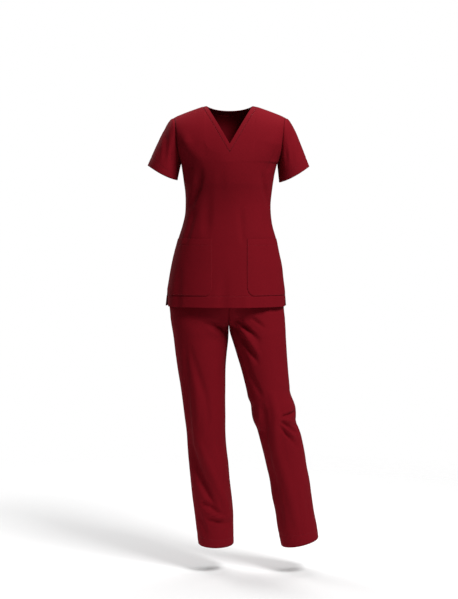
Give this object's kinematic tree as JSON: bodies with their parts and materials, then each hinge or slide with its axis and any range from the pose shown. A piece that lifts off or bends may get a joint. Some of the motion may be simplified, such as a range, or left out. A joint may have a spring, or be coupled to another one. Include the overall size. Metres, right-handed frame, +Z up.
{
  "type": "medical_scrubs",
  "caption": "Burgundy medical scrubs: a short-sleeved V-neck top with patch pockets over straight trousers, held hollow in a standing pose",
  "frame": {"origin": "The base of the wearer's neck, midway between the shoulder seams, where the shoulders carry the top", "axes": "+Z up, -Y the front, +X the wearer's left"},
  "size_m": [0.5376, 0.257, 1.3861],
  "materials": {
    "top_front": "matte burgundy plain weave",
    "top_back": "matte burgundy plain weave",
    "sleeve_right": "matte burgundy plain weave",
    "sleeve_left": "matte burgundy plain weave",
    "neckband_front": "matte burgundy plain weave",
    "neckband_back": "matte burgundy plain weave",
    "pocket_right": "matte burgundy plain weave",
    "pocket_left": "matte burgundy plain weave",
    "leg_right_front": "matte burgundy plain weave",
    "leg_right_back": "matte burgundy plain weave",
    "leg_left_front": "matte burgundy plain weave",
    "leg_left_back": "matte burgundy plain weave",
    "waistband": "matte burgundy plain weave"
  },
  "bodies": {
    "root": {"top_front": "top_front", "top_back": "top_back", "sleeve_right": "sleeve_right", "sleeve_left": "sleeve_left", "neckband_front": "neckband_front", "neckband_back": "neckband_back", "pocket_right": "pocket_right", "pocket_left": "pocket_left", "leg_right_front": "leg_right_front", "leg_right_back": "leg_right_back", "leg_left_front": "leg_left_front", "leg_left_back": "leg_left_back", "waistband": "waistband"}
  },
  "joints": []
}
